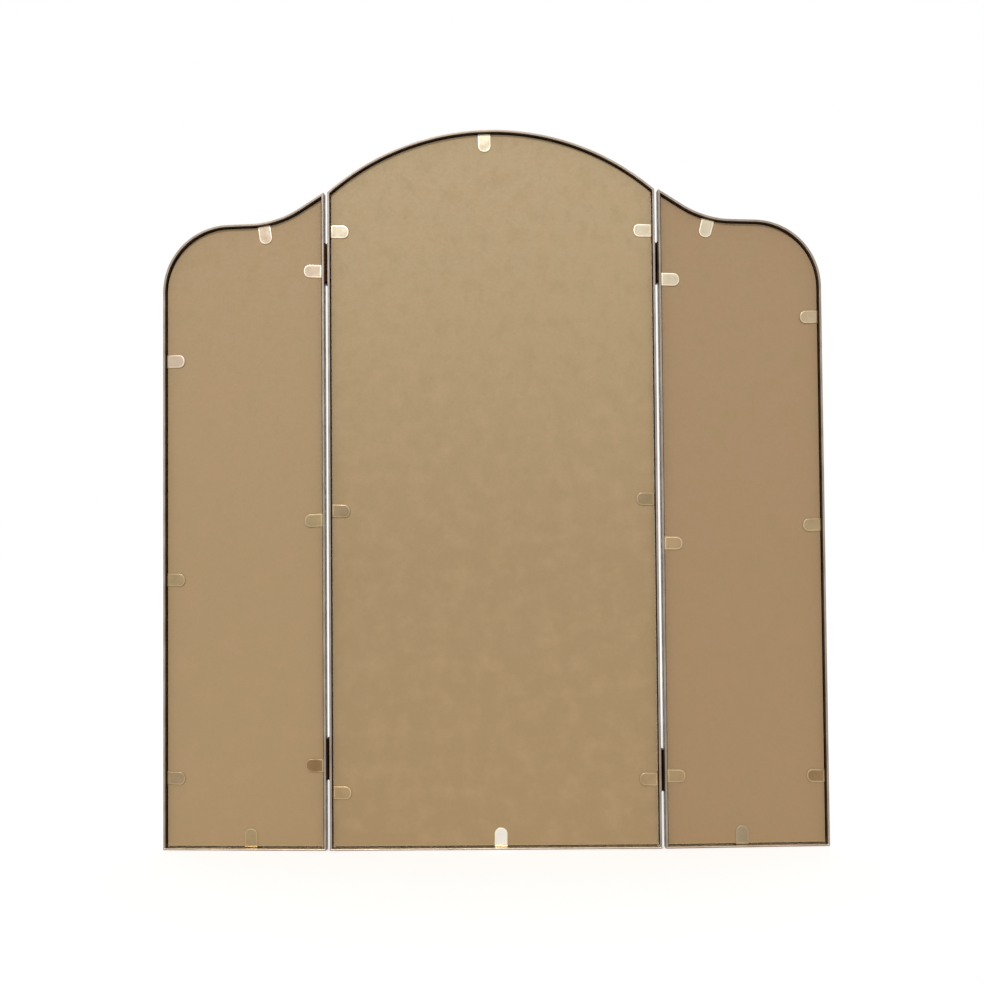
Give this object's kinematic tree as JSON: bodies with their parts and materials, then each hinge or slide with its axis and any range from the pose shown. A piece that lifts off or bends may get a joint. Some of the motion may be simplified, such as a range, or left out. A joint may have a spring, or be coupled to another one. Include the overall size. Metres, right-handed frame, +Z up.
{
  "type": "folding vanity mirror",
  "caption": "Three-panel folding vanity mirror with an arched centre panel and hinged wings, in a thin metal strip frame with hardboard backs.",
  "frame": {"origin": "middle of the centre panel's bottom face, halfway through the frame's depth", "axes": "+Z up; the mirrors face -Y and the backs +Y; +X is to the right of a person who looks into the mirror"},
  "size_m": [0.646, 0.021, 0.6999],
  "materials": {
    "frame_metal": "pale champagne-gold plate, satin, worn along the edges",
    "clip_metal": "pale gold strip, smooth, slightly dulled",
    "hinge_metal": "aged dark brown",
    "mirror_glass": "silvered float glass with ground edges",
    "hardboard": "smooth tan hardboard, faintly mottled"
  },
  "bodies": {
    "centre_panel": {"centre_frame": "frame_metal", "centre_mirror_glass": "mirror_glass", "centre_backing_board": "hardboard", "centre_clip_right_upper": "clip_metal", "centre_clip_right_middle": "clip_metal", "centre_clip_right_lower": "clip_metal", "centre_clip_left_upper": "clip_metal", "centre_clip_left_middle": "clip_metal", "centre_clip_left_lower": "clip_metal", "centre_clip_top": "clip_metal", "centre_clip_bottom": "clip_metal", "right_hinge_upper_centre_leaf": "hinge_metal", "right_hinge_lower_centre_leaf": "hinge_metal", "left_hinge_upper_centre_leaf": "hinge_metal", "left_hinge_lower_centre_leaf": "hinge_metal", "right_hinge_upper_pin": "hinge_metal", "right_hinge_lower_pin": "hinge_metal", "left_hinge_upper_pin": "hinge_metal", "left_hinge_lower_pin": "hinge_metal"},
    "right_wing": {"right_wing_frame": "frame_metal", "right_wing_mirror_glass": "mirror_glass", "right_wing_backing_board": "hardboard", "right_wing_clip_hinge_side_upper": "clip_metal", "right_wing_clip_hinge_side_middle": "clip_metal", "right_wing_clip_hinge_side_lower": "clip_metal", "right_wing_clip_outer_upper": "clip_metal", "right_wing_clip_outer_middle": "clip_metal", "right_wing_clip_outer_lower": "clip_metal", "right_wing_clip_top": "clip_metal", "right_wing_clip_bottom": "clip_metal", "right_hinge_upper_wing_leaf": "hinge_metal", "right_hinge_lower_wing_leaf": "hinge_metal"},
    "left_wing": {"left_wing_frame": "frame_metal", "left_wing_mirror_glass": "mirror_glass", "left_wing_backing_board": "hardboard", "left_wing_clip_hinge_side_upper": "clip_metal", "left_wing_clip_hinge_side_middle": "clip_metal", "left_wing_clip_hinge_side_lower": "clip_metal", "left_wing_clip_outer_upper": "clip_metal", "left_wing_clip_outer_middle": "clip_metal", "left_wing_clip_outer_lower": "clip_metal", "left_wing_clip_top": "clip_metal", "left_wing_clip_bottom": "clip_metal", "left_hinge_upper_wing_leaf": "hinge_metal", "left_hinge_lower_wing_leaf": "hinge_metal"}
  },
  "joints": [
    {"name": "right_wing_fold", "type": "hinge", "parent": "centre_panel", "child": "right_wing", "pos_m": [0.16145, -0.00875, 0], "axis": [0, 0, -1], "range_deg": [-7, 177]},
    {"name": "left_wing_fold", "type": "hinge", "parent": "centre_panel", "child": "left_wing", "pos_m": [-0.16145, -0.00875, 0], "axis": [0, 0, 1], "range_deg": [-7, 177]}
  ]
}
